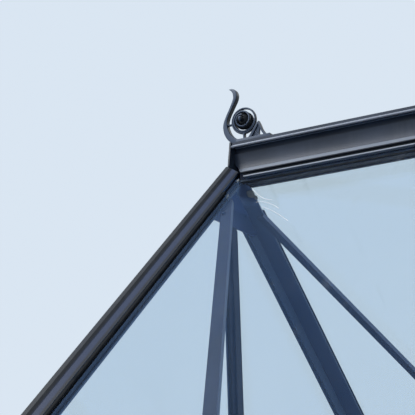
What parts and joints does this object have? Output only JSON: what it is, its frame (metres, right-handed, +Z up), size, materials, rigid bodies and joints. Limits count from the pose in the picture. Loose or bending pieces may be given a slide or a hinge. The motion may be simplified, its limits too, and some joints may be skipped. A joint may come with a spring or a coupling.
{
  "type": "greenhouse roof",
  "caption": "Glazed gable roof for a greenhouse, with a moulded ridge, scroll finials, rafters, glazing bars, wind braces, gusset plates, eaves beams, mullions and glass panes.",
  "frame": {"origin": "centre of the flat underside of the eaves beams and gable sills, below the middle of the ridge", "axes": "+X along the ridge, the pictured gable at its negative end, +Y across the roof, +Z up"},
  "size_m": [1.904, 2.6584, 1.3571],
  "materials": {
    "frame_paint": "powder-coated dark anthracite, satin",
    "brace_paint": "powder-coated dark anthracite, satin, a little bluer",
    "cast_black": "cast aluminium, painted black, semi-gloss",
    "end_black": "painted black, matt",
    "black_rubber": "black glazing rubber",
    "clear_glass": "clear toughened glass with light dust"
  },
  "bodies": {
    "root": {"eaves_beam_front": "frame_paint", "eaves_beam_rear": "frame_paint", "finial_left": "cast_black", "finial_right": "cast_black", "gable_glass_left": "clear_glass", "gable_glass_right": "clear_glass", "gable_mullion_front_left": "frame_paint", "gable_mullion_front_right": "frame_paint", "gable_mullion_left": "frame_paint", "gable_mullion_rear_left": "frame_paint", "gable_mullion_rear_right": "frame_paint", "gable_mullion_right": "frame_paint", "gable_rafter_front_left": "frame_paint", "gable_rafter_front_right": "frame_paint", "gable_rafter_rear_left": "frame_paint", "gable_rafter_rear_right": "frame_paint", "gable_sill_left": "frame_paint", "gable_sill_right": "frame_paint", "gusset_plate_left": "brace_paint", "gusset_plate_right": "brace_paint", "rafter_gasket_front_left": "black_rubber", "rafter_gasket_front_right": "black_rubber", "rafter_gasket_rear_left": "black_rubber", "rafter_gasket_rear_right": "black_rubber", "ridge_beam": "frame_paint", "ridge_capping": "frame_paint", "ridge_end_plate_left": "end_black", "ridge_end_plate_right": "end_black", "ridge_moulding_front": "frame_paint", "ridge_moulding_rear": "frame_paint", "roof_bar_front_1": "frame_paint", "roof_bar_front_2": "frame_paint", "roof_bar_rear_1": "frame_paint", "roof_bar_rear_2": "frame_paint", "roof_pane_front_1": "clear_glass", "roof_pane_front_2": "clear_glass", "roof_pane_front_3": "clear_glass", "roof_pane_rear_1": "clear_glass", "roof_pane_rear_2": "clear_glass", "roof_pane_rear_3": "clear_glass", "wind_brace_front_left": "brace_paint", "wind_brace_front_right": "brace_paint", "wind_brace_rear_left": "brace_paint", "wind_brace_rear_right": "brace_paint"}
  },
  "joints": []
}
